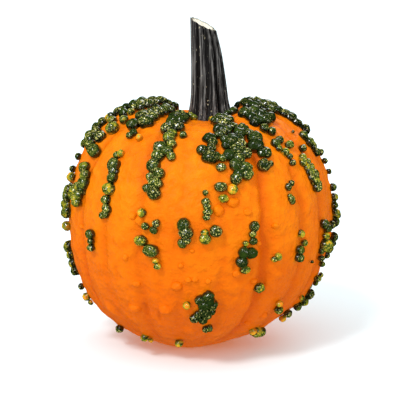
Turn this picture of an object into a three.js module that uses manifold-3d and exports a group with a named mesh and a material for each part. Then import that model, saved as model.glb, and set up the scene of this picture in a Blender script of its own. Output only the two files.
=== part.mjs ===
// A warty winter squash: a ribbed orange fruit set with strings of round green warts, and the dark ridged
// stem that it was cut from the vine by. Millimetres, +Z up. The origin is on the flat spot that the fruit
// rests on, below the middle of its waist, and the side that faces the viewer is -Y.
//
// A place on the skin is given by two angles in degrees: its longitude, 0 at the front and growing towards
// +X, and its fall, 0 at the crown, 90 at the waist and 180 at the blossom end.
import * as THREE from "three";
import { mergeVertices } from "three/addons/utils/BufferGeometryUtils.js";
import Module from "manifold-3d";

const wasm = await Module();
wasm.setup();

// Fruit: the waist, and the two unlike halves above and below it.
const WAIST_RADIUS = 133.5;
const WAIST_HEIGHT = 124.5;
const UPPER_RISE = 122.5;
const LOWER_DROP = 128; // a little more than the waist's height, so that the bottom is cut off flat
const UPPER_POWER = 2.36; // 2 is an ellipse, and more is squarer in the shoulder
const LOWER_POWER = 2.12;
const CROWN_SHIFT = 9; // the crown lies to the right of the waist's middle
const BASE_SHIFT = -11; // and the blossom end to the left of it
const CROWN_SPREAD = 50;

// Crown: the shoulders stand higher on the left and right than in front and behind.
const SIDE_HOLLOW = 17;
const SIDE_HOLLOW_SPREAD = 34;
const STEM_SEAT = 11;
const STEM_SEAT_SPREAD = 25;
const SADDLE = 13;
const SADDLE_REACH = 30;
const SADDLE_SPREAD = 45;
const DROP_BEHIND = 8; // behind the stem it lies lower still

// Furrows between the ribs, as [longitude, depth in mm], once round from the back.
const FURROWS = [
  [-158, 3.5], [-132, 3], [-108, 3.2], [-84, 3], [-62, 2.6], [-44, 1.6], [-26, 2.2], [-8, 0.9],
  [9, 1.2], [28, 3.8], [48, 2.4], [64, 2.4], [80, 3], [104, 3], [132, 3.5], [160, 3.2], [180, 2.8],
];
const FURROW_WIDTH = 7;
const FURROW_FADE = 60; // a furrow is shallower than its depth where the fruit is narrower than this

// Faces of the fruit before the warts are joined on.
const FURROW_EDGE = 5.5;
const ROWS = 26;

// Stem: it leans a little to the left and is cut off aslant.
const STEM_FOOT = 205; // inside the fruit, before it is cut to sit on the crown
const STEM_TOP = 318.8;
const STEM_LEAN = 6.6;
const STEM_BEND = 1.9; // 1 would lean it evenly, and more bends it towards the top
const STEM_RADIUS = 11.3;
const STEM_SWELL = 6.2;
const STEM_TAPER = 0.8;
const STEM_FLARE = 11;
const FLARE_FROM = 218;
const FLARE_SPREAD = 9;
const FLARE_UNEVEN = 0.3; // the foot spreads further to one side,
const FLARE_TOWARDS = -40; // at these degrees from +X
const CUT_SLOPE_X = -0.5;
const CUT_SLOPE_Y = 0.12;
const STEM_RIDGES = 10;
const RIDGE_HEIGHT = 0.085;
const STEM_SIDES = 40;
const STEM_ROWS = 13;
const TOUCHING_GAP = 0.3;

// Warts. A bead stands out of the skin by this many of its own radii.
const BEAD_STANDS = 1.15;
const BEAD_ALONG = 0.66; // from bead to bead along a string, in diameters
const BEAD_ACROSS = 0.62; // and from string to string
const SMALLEST_BEAD = 8.5; // the bare form leaves out the smaller ones,
const CROWDING = 1; // and those nearer to a larger one than this share of their mean diameter
const BEAD_SWELL = 1.1; // a bead of few faces is made this much larger, to hold as much as a round one
const SEED = 20261;

// Strings of warts on the side that shows, as [longitude, fall] of one end and of the other, the diameter
// of a bead, how many beads lie side by side, and how green they are, from 0, yellow, to 1, dark.
const FACE_STRINGS = [
  // left of the stem
  [-27, 21, -21, 36, 12, 2, 0.95], [-19, 41, -15, 53, 12, 1, 0.8], [-22, 49, -21.5, 57, 13.5, 1, 0.9],
  [-21, 60.5, -21, 65, 11.5, 2, 0.85], [-58, 20, -55, 30, 12, 2, 0.9], [-50, 31, -48, 36, 14, 2, 0.95],
  [-92, 24, -86, 30, 12, 2, 0.85],
  // left shoulder and flank
  [-80, 53, -74, 55, 13, 1, 0.75], [-66, 63, -61, 70, 13.5, 1, 0.75], [-64, 71, -68, 76, 12, 2, 0.65],
  [-80, 76, -76, 84, 11.5, 1, 0.6], [-92, 103, -90, 113.5, 12.5, 1, 0.65], [-44, 59, -42, 64.5, 14, 1, 0.85],
  [-41.5, 77, -44, 80, 9, 1, 0.7], [-18.8, 82.5, -17.3, 80, 7.5, 1, 0.9],
  [-17.8, 95, -17.3, 97.5, 7.5, 1, 0.3],
  [-6, 80, -6, 83, 13, 1, 0.85], [-5.5, 86, -7.5, 87.5, 8.5, 1, 0.8],
  // right of the stem
  [13, 24, 20, 30, 12, 2, 0.95], [17, 36, 18, 41, 12, 3, 0.95], [18, 44, 18, 52, 12, 3, 0.95],
  [17, 54, 18, 59, 12, 2, 0.9], [5.5, 43, 6.5, 49, 12, 1, 1], [2.5, 71, 2.5, 77, 8, 1, 0.7],
  [30.5, 36.5, 32, 42, 7.5, 1, 0.85], [33, 46, 32, 49, 14, 1, 1], [32, 53, 34.5, 53, 10, 1, 0.95],
  [50, 26, 46, 34, 14, 2, 1], [60, 27, 56, 35, 13, 2, 0.95], [44, 40, 49, 42.5, 10.5, 1, 0.9],
  [78, 22, 84, 30, 13, 2, 0.95], [88, 34, 90, 44, 11, 1, 0.95], [74, 50, 80, 59, 10, 1, 0.7],
  [56, 58, 59, 63, 8.5, 2, 0.6], [57, 65, 61, 68.5, 10, 2, 0.75],
  // right flank and below the waist
  [40.5, 67.5, 43, 67, 7.5, 1, 0.85], [40, 71.5, 41.2, 74, 6.5, 1, 0.75], [45, 94, 45, 97, 9, 1, 0.85],
  [2.5, 110, 4.5, 115, 11.5, 2, 0.95], [4, 117, 1.5, 121.5, 10.5, 2, 0.95], [5, 129, 7.5, 129, 8.5, 1, 0.7],
];

// Single warts on the side that shows, as [longitude, fall, diameter, green].
const FACE_BEADS = [
  [-31, 15, 8.5, 0.7], [-19, 17.5, 7, 0.6], [8.5, 20, 6, 0.1], [55, 16, 10, 0.9], [80, 13, 10, 0.9],
  [43, 15, 9, 0.9], [-11, 41, 8, 0.8], [-19.5, 68.5, 13, 0.95], [-118, 20, 11, 0.9], [-75, 33, 9, 0.5],
  [-80, 36, 12, 0.9], [-67, 38, 10, 0.7], [-85, 42, 10, 0.7], [-95, 49.5, 11, 0.85], [-97.5, 43, 11, 0.45],
  [-97, 46, 7, 0.85], [-69, 49.5, 14, 0.8], [-88, 49.5, 11, 0.85], [-66.5, 44, 14.5, 0.55],
  [-98.5, 37, 12, 0.85], [-99, 31.5, 10, 0.5], [-93.5, 53, 13, 0.65], [-92.5, 57, 10, 0.6],
  [-65, 56, 15, 0.8], [-89, 62.5, 8, 0.85], [-90, 68.5, 8, 0.85], [-86, 71.5, 11.5, 0.3],
  [-90, 79.5, 10, 0.7], [-89.5, 84, 12, 0.6], [-88.5, 87.5, 12, 0.6], [-88.5, 93, 11, 0.35],
  [-78, 118.5, 7, 0.85], [-75, 123, 9, 0.4], [-74, 126, 6, 0.2], [-65, 78, 11, 0.55],
  [-51, 88.5, 10.5, 0.85], [-51, 91.5, 7, 0.85], [-51, 94.2, 8, 0.75], [-46, 45, 7, 0.85],
  [-45, 43, 8, 0.85], [-37.5, 45, 7.5, 0.15], [-43.5, 54, 8, 0.15], [-45.5, 55, 8, 0.7],
  [-42.5, 69, 13.5, 0.6], [-43.5, 73.5, 10, 0.65], [-24.5, 76.5, 9, 0.5], [-22.5, 81.5, 8, 0.75],
  [-24.5, 87.5, 12, 0.6], [-20, 91, 14, 0.8], [21, 61, 12, 0.8], [15.5, 62.5, 12.5, 0.85],
  [13.5, 66.5, 11, 0.25], [0.5, 49.5, 11, 1], [4.5, 53, 15, 1], [7.5, 53, 11, 0.95], [11, 53.5, 9, 0.6],
  [9.5, 57.5, 9, 0.8], [8.5, 65.5, 11, 0.85], [9.5, 70, 9, 0.5], [2, 67.5, 6, 0.8], [6, 82.5, 12.5, 0.9],
  [1.8, 85.5, 11, 0.55], [1.6, 83, 7, 0.15], [31, 58, 13.5, 1], [34.3, 57.5, 7, 1], [68, 46, 3.5, 0.6],
  [43.5, 49, 10, 0.85], [49, 48, 9, 0.9], [44, 51.5, 7, 0.8], [53, 51, 9, 0.7], [47.5, 54, 9, 0.4],
  [49, 56.2, 7, 0.85], [49, 59, 7, 0.95], [64, 54.5, 9, 0.85], [60, 71, 10.5, 0.7], [86, 60, 8, 0.85],
  [86, 64, 7, 0.85], [87, 69, 6, 0.9], [85, 75.5, 9, 0.85], [86, 80, 9, 0.7], [86, 83.5, 8, 0.7],
  [85, 86, 7, 0.85], [88, 88, 12.5, 0.45], [88, 91.2, 11, 0.8], [65, 87, 10, 0.85], [67.5, 89.5, 9, 0.85],
  [79, 90.5, 9, 0.8], [85, 97, 10, 0.85], [86, 100, 9, 0.85], [66.5, 96.5, 15, 0.55], [80, 101, 11, 0.8],
  [80, 104, 8, 0.7], [64, 98.5, 7, 0.8], [65.5, 102, 7, 0.7], [67.5, 105, 6.5, 0.7], [69, 112, 8, 0.7],
  [73.5, 111.5, 6, 0.5], [70, 114.5, 6, 0.8], [73, 120, 6, 0.8], [76, 121.5, 12.5, 0.7],
  [74, 124.8, 12, 0.55], [64, 120.5, 6, 0.2], [21.8, 81.5, 11, 0.95], [21, 84.5, 7, 0.7],
  [21.3, 87.3, 8, 0.9], [18, 88, 6, 0.7], [17.2, 91.5, 12, 0.95], [20.3, 92, 12, 0.95],
  [16.5, 95.3, 12.5, 1], [18.3, 98.8, 9, 0.55], [45.5, 87.5, 8, 0.4], [48.5, 92, 7, 0.7], [33, 95, 8, 0.55],
  [31.5, 96, 6, 0.5], [54.5, 101, 3.5, 0.9], [26.5, 108, 10.5, 0.6], [-5, 114.5, 8, 0.25],
  [43.5, 122, 9, 0.6], [41, 118, 7, 0.15], [66, 130.5, 9, 0.7], [68, 134.5, 8, 0.2], [43, 137.5, 12, 0.55],
  [52, 140, 11, 0.6], [38, 136, 8, 0.25], [-34, 141, 8, 0.4], [-31.5, 144, 5, 0.3], [-9.5, 143.5, 8, 0.4],
  [-66, 142.5, 9, 0.85], [100, 28, 12, 0.85], [97, 33, 13, 0.85], [71, 127.5, 9, 0.6], [66.5, 92.5, 8, 0.4],
];

// Warts on the side that doesn't show follow a rule: a string down each rib, with small groups below it.
const BACK_FROM = 100;
const BACK_TO = 262;
const BACK_STEP = 16;
const BACK_MIDDLE = 181;
const BARE_BEHIND_STEM = 36; // no string starts close to the stem behind it

const BALL_CORNER = new THREE.Vector3(0, 1, (1 + Math.sqrt(5)) / 2).normalize();

// The same draws between 0 and 1 on every run.
function seededDraws(seed) {
  let state = seed;
  return () => {
    state = (state * 48271) % 2147483647;
    return state / 2147483647;
  };
}

// How far the furrows set the skin back, at a longitude and at a distance from the axis.
function furrowDepth(longitude, radius) {
  let depth = 0;
  for (const [at, deep] of FURROWS) {
    const turn = THREE.MathUtils.euclideanModulo(longitude - at + 180, 360) - 180;
    const across = THREE.MathUtils.degToRad(turn) * Math.max(radius, SADDLE_REACH);
    depth += deep * Math.exp(-((across / FURROW_WIDTH) ** 2));
  }
  return depth * Math.min(radius / FURROW_FADE, 1);
}

// A point of the bare skin.
function skinPoint(longitude, fall) {
  const turn = THREE.MathUtils.degToRad(longitude);
  const down = THREE.MathUtils.degToRad(fall);
  const out = Math.sin(down);
  const up = Math.cos(down);
  const power = up > 0 ? UPPER_POWER : LOWER_POWER;
  const reach = up > 0 ? UPPER_RISE : LOWER_DROP;
  const far = ((out / WAIST_RADIUS) ** power + (Math.abs(up) / reach) ** power) ** (-1 / power);
  let radius = far * out;
  radius -= furrowDepth(longitude, radius);
  let height = WAIST_HEIGHT + far * up;
  let shift;
  if (up > 0) {
    const crown = Math.min(2 * up, 1);
    // Left and right differ from front and back everywhere but under the stem.
    const offAxis = Math.min(radius / STEM_SEAT_SPREAD, 1);
    const side = 0.5 + (Math.sin(turn) ** 2 - 0.5) * offAxis;
    const behind = DROP_BEHIND * offAxis * Math.max(-Math.cos(turn), 0) ** 2;
    const hollow = SIDE_HOLLOW * side * Math.exp(-((radius / SIDE_HOLLOW_SPREAD) ** 2));
    const seat = STEM_SEAT * Math.exp(-((radius / STEM_SEAT_SPREAD) ** 2));
    const dip = SADDLE * (1 - side) + behind;
    const saddle = dip * Math.exp(-(((radius - SADDLE_REACH) / SADDLE_SPREAD) ** 2));
    height -= (hollow + seat + saddle) * crown;
    shift = CROWN_SHIFT * Math.exp(-((radius / CROWN_SPREAD) ** 2)) * crown;
  } else {
    shift = BASE_SHIFT * ((WAIST_HEIGHT - height) / WAIST_HEIGHT) ** 2;
  }
  return new THREE.Vector3(
    radius * Math.sin(turn) + shift,
    -radius * Math.cos(turn),
    Math.max(height, 0),
  );
}

// The skin's outward direction, from a small step along it each way.
function skinNormal(longitude, fall) {
  const step = 0.5;
  const along = skinPoint(longitude + step, fall).sub(skinPoint(longitude - step, fall));
  const down = skinPoint(longitude, fall + step).sub(skinPoint(longitude, fall - step));
  return down.cross(along).normalize();
}

// Where the skin turns flat, as a fall in degrees: the ring that the fruit rests within.
function restingFall() {
  const share = (WAIST_HEIGHT / LOWER_DROP) ** LOWER_POWER;
  const radius = WAIST_RADIUS * (1 - share) ** (1 / LOWER_POWER);
  return 180 - THREE.MathUtils.radToDeg(Math.atan2(radius, WAIST_HEIGHT));
}

// A closed three.js geometry as a solid.
function solidOf(geometry) {
  const bare = geometry.clone();
  bare.deleteAttribute("normal");
  bare.deleteAttribute("uv");
  const merged = mergeVertices(bare, 1e-4);
  return new wasm.Manifold(
    new wasm.Mesh({
      numProp: 3,
      vertProperties: merged.attributes.position.array,
      triVerts: new Uint32Array(merged.index.array),
    }),
  );
}

function geometryOf(solid) {
  const mesh = solid.getMesh();
  const geometry = new THREE.BufferGeometry();
  geometry.setAttribute("position", new THREE.BufferAttribute(new Float32Array(mesh.vertProperties), 3));
  geometry.setIndex(new THREE.BufferAttribute(new Uint32Array(mesh.triVerts), 1));
  geometry.computeVertexNormals();
  return geometry;
}

// The longitudes of the skin's columns: each furrow's bottom, its two edges and the middle of each rib.
function columnLongitudes() {
  const found = [];
  FURROWS.forEach(([at], n) => {
    const next = n + 1 < FURROWS.length ? FURROWS[n + 1][0] : FURROWS[0][0] + 360;
    found.push(at, at + FURROW_EDGE, (at + next) / 2, next - FURROW_EDGE);
  });
  return found;
}

// The fruit's body: a sphere's grid of points, each moved to its place on the skin.
function fruitBody() {
  const longitudes = columnLongitudes();
  const columns = longitudes.length;
  const lastFall = restingFall();
  const geometry = new THREE.SphereGeometry(1, columns, ROWS + 1);
  const position = geometry.attributes.position;
  for (let row = 0; row <= ROWS + 1; row++) {
    const fall = row > ROWS ? 180 : (row / ROWS) * lastFall;
    for (let column = 0; column <= columns; column++) {
      const point = skinPoint(longitudes[column % columns], fall);
      position.setXYZ(row * (columns + 1) + column, point.x, point.y, point.z);
    }
  }
  return geometry;
}

// The beads of one string, spaced along it and side by side, each a little out of line.
function beadsOfString([fromLongitude, fromFall, toLongitude, toFall, diameter, abreast, green], draw) {
  const beads = [];
  const from = skinPoint(fromLongitude, fromFall);
  const to = skinPoint(toLongitude, toFall);
  const steps = Math.max(Math.round(from.distanceTo(to) / (BEAD_ALONG * diameter)), 1);
  const middle = skinPoint((fromLongitude + toLongitude) / 2, (fromFall + toFall) / 2);
  const degreesOut = THREE.MathUtils.radToDeg(1 / Math.max(Math.hypot(middle.x, middle.y), SADDLE_REACH));
  const degreesDown = THREE.MathUtils.radToDeg(1 / WAIST_RADIUS);
  const along = new THREE.Vector2(
    (toLongitude - fromLongitude) / degreesOut,
    (toFall - fromFall) / degreesDown,
  ).normalize();
  for (let step = 0; step <= steps; step++) {
    for (let lane = 0; lane < abreast; lane++) {
      const share = (step + (draw() - 0.5) * 0.3 + (lane % 2) * 0.4) / steps;
      const offset = ((lane - (abreast - 1) / 2) * BEAD_ACROSS + (draw() - 0.5) * 0.3) * diameter;
      const size = diameter * (0.8 + 0.36 * draw());
      beads.push({
        longitude: fromLongitude + (toLongitude - fromLongitude) * share - along.y * offset * degreesOut,
        fall: fromFall + (toFall - fromFall) * share + along.x * offset * degreesDown,
        diameter: size,
        green: green + (draw() - 0.5) * 0.2,
      });
    }
  }
  return beads;
}

// The strings on the side that doesn't show, long and dark near the stem, short and paler lower down.
function backStrings(draw) {
  const strings = [];
  for (let longitude = BACK_FROM; longitude < BACK_TO; longitude += BACK_STEP * (0.8 + 0.4 * draw())) {
    const behindStem = Math.abs(longitude - BACK_MIDDLE) < BARE_BEHIND_STEM;
    const top = (behindStem ? 41 : 19) + 9 * draw();
    const length = 14 + 26 * draw();
    const drift = 6 * (draw() - 0.5);
    const abreast = draw() < 0.4 ? 2 : 1;
    strings.push([longitude, top, longitude + drift, top + length, 11 + 3 * draw(), abreast, 0.9]);
    const middle = 70 + 16 * draw();
    const aside = longitude + 8 * (draw() - 0.5);
    strings.push([aside, middle, aside + 2, middle + 2 + 8 * draw(), 8.5 + 3.5 * draw(), 1, 0.7]);
    const low = 98 + 30 * draw();
    if (draw() < 0.6) {
      strings.push([aside, low, aside - 2, low + 2 + 4 * draw(), 8 + 3.5 * draw(), 1, 0.6]);
    }
  }
  return strings;
}

// Every wart on the fruit, in a fixed order.
function allBeads() {
  const draw = seededDraws(SEED);
  const beads = FACE_STRINGS.flatMap((string) => beadsOfString(string, draw));
  for (const [longitude, fall, diameter, green] of FACE_BEADS) {
    beads.push({ longitude, fall, diameter, green });
  }
  for (const string of backStrings(draw)) {
    beads.push(...beadsOfString(string, draw));
  }
  return beads;
}

// One wart: a ball of twenty faces with a corner outwards, sunk into the skin.
function wartSolid({ longitude, fall, diameter }) {
  const radius = diameter / 2;
  const outward = skinNormal(longitude, fall);
  const ball = new THREE.IcosahedronGeometry(radius * BEAD_SWELL, 0);
  ball.applyQuaternion(new THREE.Quaternion().setFromUnitVectors(BALL_CORNER, outward));
  const centre = skinPoint(longitude, fall).addScaledVector(outward, radius * (BEAD_STANDS - 1));
  ball.translate(centre.x, centre.y, centre.z);
  return solidOf(ball);
}

// The warts that are modelled here, the largest first.
function modelledBeads() {
  const kept = [];
  const largestFirst = allBeads().sort((one, other) => other.diameter - one.diameter);
  for (const bead of largestFirst) {
    const at = skinPoint(bead.longitude, bead.fall);
    const crowded = kept.some(
      (other) => at.distanceTo(other.at) < (CROWDING * (bead.diameter + other.diameter)) / 2,
    );
    if (bead.diameter >= SMALLEST_BEAD && !crowded) kept.push({ ...bead, at });
  }
  return kept;
}

// The fruit with its warts grown on it, as one solid.
function fruitSolid() {
  let fruit = solidOf(fruitBody());
  for (const bead of modelledBeads()) {
    fruit = fruit.add(wartSolid(bead));
  }
  return fruit;
}

// The stem's half thickness at a height and an angle from +X, without its ridges.
function stemRadius(height, angle) {
  const above = Math.max(height - FLARE_FROM, 0);
  const drop = 1 - above / (STEM_TOP - FLARE_FROM);
  const towards = Math.cos(angle - THREE.MathUtils.degToRad(FLARE_TOWARDS));
  const flare = STEM_FLARE * (1 + FLARE_UNEVEN * towards) * Math.exp(-above / FLARE_SPREAD);
  return STEM_RADIUS + STEM_SWELL * drop ** STEM_TAPER + flare;
}

// The stem's middle at a height: over the crown, and bending to the left as it rises.
function stemMiddle(height) {
  const rise = (height - FLARE_FROM) / (STEM_TOP - FLARE_FROM);
  return CROWN_SHIFT - STEM_LEAN * Math.max(rise, 0) ** STEM_BEND;
}

// The stem: a cylinder's grid of points moved out to the ridges and up to the slanting cut.
function stemBody() {
  const geometry = new THREE.CylinderGeometry(1, 1, 1, STEM_SIDES, STEM_ROWS);
  geometry.rotateX(Math.PI / 2);
  const position = geometry.attributes.position;
  for (let n = 0; n < position.count; n++) {
    const x = position.getX(n);
    const y = position.getY(n);
    const share = position.getZ(n) + 0.5;
    const flat = STEM_FOOT + (STEM_TOP - STEM_FOOT) * share;
    const angle = Math.atan2(y, x);
    const ridges = 1 + RIDGE_HEIGHT * Math.cos(STEM_RIDGES * angle) + 0.03 * Math.cos(5 * angle + 1);
    const radius = stemRadius(flat, angle) * ridges * Math.hypot(x, y);
    const outX = radius * Math.cos(angle);
    const outY = radius * Math.sin(angle);
    const slant = (CUT_SLOPE_X * outX + CUT_SLOPE_Y * outY) * share ** 4;
    position.setXYZ(n, stemMiddle(flat) + outX, outY, flat + slant);
  }
  return geometry;
}

const skin = new THREE.MeshStandardMaterial({ color: "#f57d0c", roughness: 0.42, metalness: 0 });
const bark = new THREE.MeshStandardMaterial({ color: "#3d3c38", roughness: 0.7, metalness: 0 });

// The stem, cut to sit on the crown and among the warts with a small gap to them on every side.
function stemSolid(grownFruit) {
  let stem = solidOf(stemBody());
  for (const axis of [0, 1, 2]) {
    for (const way of [-TOUCHING_GAP, TOUCHING_GAP]) {
      const step = [0, 0, 0];
      step[axis] = way;
      stem = stem.subtract(grownFruit.translate(step));
    }
  }
  return stem;
}

const fruitWithWarts = fruitSolid();

const fruit = new THREE.Mesh(geometryOf(fruitWithWarts), skin);
fruit.name = "fruit";

const stem = new THREE.Mesh(geometryOf(stemSolid(fruitWithWarts)), bark);
stem.name = "stem";

const squash = new THREE.Group();
squash.add(fruit, stem);

export default squash;
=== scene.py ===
# %% [markdown]
# A warty winter squash
#
# This lesson dresses a plain solid of a squash, so that it looks like a real one: a ribbed orange rind,
# strings of glossy green warts, and the dark, ridged stem that it was cut from the vine by. The solid
# comes first and stays fixed. Everything here is made in its frame: metres, +Z up, the origin on the flat
# spot that the fruit rests on, and the side that faces the viewer towards -Y.

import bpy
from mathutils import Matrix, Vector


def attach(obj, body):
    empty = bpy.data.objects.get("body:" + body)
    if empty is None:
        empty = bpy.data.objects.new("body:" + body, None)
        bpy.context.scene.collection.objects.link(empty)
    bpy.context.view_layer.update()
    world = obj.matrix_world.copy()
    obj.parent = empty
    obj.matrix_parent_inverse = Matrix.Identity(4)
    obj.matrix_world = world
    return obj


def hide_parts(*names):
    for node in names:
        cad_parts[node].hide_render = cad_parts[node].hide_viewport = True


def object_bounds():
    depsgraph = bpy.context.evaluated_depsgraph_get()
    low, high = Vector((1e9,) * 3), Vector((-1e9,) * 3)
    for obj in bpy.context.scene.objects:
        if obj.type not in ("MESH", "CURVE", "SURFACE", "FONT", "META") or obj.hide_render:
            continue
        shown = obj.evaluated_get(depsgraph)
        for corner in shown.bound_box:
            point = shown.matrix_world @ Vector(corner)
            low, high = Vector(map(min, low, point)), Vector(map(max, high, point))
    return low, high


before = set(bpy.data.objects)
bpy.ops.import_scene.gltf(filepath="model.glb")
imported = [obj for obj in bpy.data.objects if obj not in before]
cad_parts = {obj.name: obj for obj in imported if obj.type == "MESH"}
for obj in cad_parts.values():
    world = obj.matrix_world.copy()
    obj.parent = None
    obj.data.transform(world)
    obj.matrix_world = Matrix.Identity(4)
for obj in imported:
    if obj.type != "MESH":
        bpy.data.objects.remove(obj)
CAD_BOX = [list(corner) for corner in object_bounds()]

import math

import bpy
import numpy as np
from mathutils import Vector, noise

MM = 0.001
BOX_LIMITS = np.array(CAD_BOX) / MM
print("the solid's box in mm:", [[round(v / MM, 1) for v in corner] for corner in CAD_BOX])

# %% [markdown]
# The shape of the rind
#
# A squash isn't a ball. Its shoulders are square, its bottom is rounder, it rests on a flat spot, and
# its crown dips in around the stem, more so in front and behind than at the sides. Furrows run from the
# stem to the blossom end, with swollen ribs between them. All of that can be written as one formula of two
# angles: the longitude, 0 at the front and growing towards +X, and the fall, 0 at the crown, 90 at the
# waist and 180 underneath. The numbers are those of the solid, so that the two agree. A formula is chosen
# over sculpting because warts, bumps and colours can then all be placed by the same two angles.

# %% Dimensions of the rind, in millimetres
WAIST_RADIUS = 133.5
WAIST_HEIGHT = 124.5
UPPER_RISE = 122.5
LOWER_DROP = 128
# A power of 2 gives an ellipse, and a higher one squarer shoulders.
UPPER_POWER = 2.36
LOWER_POWER = 2.12
# The crown lies a little to the right of the middle, and the base a little to the left.
CROWN_SHIFT = 9
CROWN_SPREAD = 50
BASE_SHIFT = -11
# The crown dips beside the stem, right under it, and in a saddle that runs from front to back.
SIDE_HOLLOW = 17
SIDE_HOLLOW_SPREAD = 34
STEM_SEAT = 11
STEM_SEAT_SPREAD = 25
SADDLE = 13
SADDLE_REACH = 30
SADDLE_SPREAD = 45
DROP_BEHIND = 8

# Furrows as (longitude, depth in mm), once round from the back.
FURROWS = [
    (-158, 3.5), (-132, 3), (-108, 3.2), (-84, 3), (-62, 2.6), (-44, 1.6), (-26, 2.2), (-8, 0.9),
    (9, 1.2), (28, 3.8), (48, 2.4), (64, 2.4), (80, 3), (104, 3), (132, 3.5), (160, 3.2), (180, 2.8),
]
FURROW_WIDTH = 7
FURROW_FADE = 60


# %% The rind's formula
def furrow_depth(longitude, radius, width=FURROW_WIDTH):
    """How far the furrows set the rind back, for arrays of longitudes and distances from the axis."""
    depth = np.zeros_like(radius)
    for at, deep in FURROWS:
        turn = (longitude - at + 180) % 360 - 180
        across = np.radians(turn) * np.maximum(radius, SADDLE_REACH)
        depth += deep * np.exp(-((across / width) ** 2))
    return depth * np.minimum(radius / FURROW_FADE, 1)


def rind_points(longitude, fall):
    """Points of the bare rind in mm, one row of x, y, z for each pair of angles."""
    longitude, fall = np.broadcast_arrays(np.asarray(longitude, float), np.asarray(fall, float))
    turn, down = np.radians(longitude), np.radians(fall)
    out, up = np.sin(down), np.cos(down)
    # The outline, one squared ellipse for the upper half and one for the lower, less the furrows
    above = up > 0
    power = np.where(above, UPPER_POWER, LOWER_POWER)
    reach = np.where(above, UPPER_RISE, LOWER_DROP)
    far = ((np.abs(out) / WAIST_RADIUS) ** power + (np.abs(up) / reach) ** power) ** (-1 / power)
    radius = far * out
    radius = radius - furrow_depth(longitude, radius)
    height = WAIST_HEIGHT + far * up
    # The dips in the crown, in full down to a fall of 60, and gone at the waist
    crown = np.clip(2 * up, 0, 1)
    off_axis = np.minimum(radius / STEM_SEAT_SPREAD, 1)
    side = 0.5 + (np.sin(turn) ** 2 - 0.5) * off_axis
    behind = DROP_BEHIND * off_axis * np.maximum(-np.cos(turn), 0) ** 2
    hollow = SIDE_HOLLOW * side * np.exp(-((radius / SIDE_HOLLOW_SPREAD) ** 2))
    seat = STEM_SEAT * np.exp(-((radius / STEM_SEAT_SPREAD) ** 2))
    saddle = (SADDLE * (1 - side) + behind) * np.exp(-(((radius - SADDLE_REACH) / SADDLE_SPREAD) ** 2))
    # The shift to the side, at the crown and below the waist
    low = np.clip((WAIST_HEIGHT - height) / WAIST_HEIGHT, 0, None)
    shift = CROWN_SHIFT * np.exp(-((radius / CROWN_SPREAD) ** 2)) * crown + BASE_SHIFT * low**2
    height = height - (hollow + seat + saddle) * crown
    x = radius * np.sin(turn) + shift
    y = -radius * np.cos(turn)
    return np.stack([x, y, np.maximum(height, 0)], axis=-1)


def rind_normals(longitude, fall):
    """Outward directions of the bare rind, from a step of half a degree along it each way."""
    step = 0.5
    along = rind_points(longitude + step, fall) - rind_points(longitude - step, fall)
    down = rind_points(longitude, fall + step) - rind_points(longitude, fall - step)
    across = np.cross(down, along)
    return across / np.maximum(np.linalg.norm(across, axis=-1, keepdims=True), 1e-9)


print("the waist is at", rind_points([0, 90], 90).round(1).tolist())

# %% [markdown]
# Where the warts grow
#
# The warts follow the ribs: strings of round beads start at the crown and break up into shorter groups
# lower down. Placing each bead by hand would take hundreds of numbers, and scattering them all by chance
# would lose the look of strings. So a string is a line on the rind with a bead size, a number of beads side
# by side and a greenness, and a loop strews beads along it. Only odd single warts have a line of their
# own. The draws come from a small seeded generator, so that every run grows the same squash.

# %% Strings on the side that shows, and the single warts between them
# One end and the other as longitude and fall, then bead diameter, beads abreast, and green from 0 to 1.
FACE_STRINGS = [
    # left of the stem
    (-27, 21, -21, 36, 12, 2, 0.95), (-19, 41, -15, 53, 12, 1, 0.8), (-22, 49, -21.5, 57, 13.5, 1, 0.9),
    (-21, 60.5, -21, 65, 11.5, 2, 0.85), (-58, 20, -55, 30, 12, 2, 0.9), (-50, 31, -48, 36, 14, 2, 0.95),
    (-92, 24, -86, 30, 12, 2, 0.85),
    # left shoulder and flank
    (-80, 53, -74, 55, 13, 1, 0.75), (-66, 63, -61, 70, 13.5, 1, 0.75), (-64, 71, -68, 76, 12, 2, 0.65),
    (-80, 76, -76, 84, 11.5, 1, 0.6), (-92, 103, -90, 113.5, 12.5, 1, 0.65),
    (-44, 59, -42, 64.5, 14, 1, 0.85), (-41.5, 77, -44, 80, 9, 1, 0.7), (-18.8, 82.5, -17.3, 80, 7.5, 1, 0.9),
    (-17.8, 95, -17.3, 97.5, 7.5, 1, 0.3),
    (-6, 80, -6, 83, 13, 1, 0.85), (-5.5, 86, -7.5, 87.5, 8.5, 1, 0.8),
    # right of the stem
    (13, 24, 20, 30, 12, 2, 0.95), (17, 36, 18, 41, 12, 3, 0.95), (18, 44, 18, 52, 12, 3, 0.95),
    (17, 54, 18, 59, 12, 2, 0.9), (5.5, 43, 6.5, 49, 12, 1, 1), (2.5, 71, 2.5, 77, 8, 1, 0.7),
    (30.5, 36.5, 32, 42, 7.5, 1, 0.85), (33, 46, 32, 49, 14, 1, 1), (32, 53, 34.5, 53, 10, 1, 0.95),
    (50, 26, 46, 34, 14, 2, 1), (60, 27, 56, 35, 13, 2, 0.95), (44, 40, 49, 42.5, 10.5, 1, 0.9),
    (78, 22, 84, 30, 13, 2, 0.95), (88, 34, 90, 44, 11, 1, 0.95), (74, 50, 80, 59, 10, 1, 0.7),
    (56, 58, 59, 63, 8.5, 2, 0.6), (57, 65, 61, 68.5, 10, 2, 0.75),
    # right flank and below the waist
    (40.5, 67.5, 43, 67, 7.5, 1, 0.85), (40, 71.5, 41.2, 74, 6.5, 1, 0.75), (45, 94, 45, 97, 9, 1, 0.85),
    (2.5, 110, 4.5, 115, 11.5, 2, 0.95), (4, 117, 1.5, 121.5, 10.5, 2, 0.95), (5, 129, 7.5, 129, 8.5, 1, 0.7),
]

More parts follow.
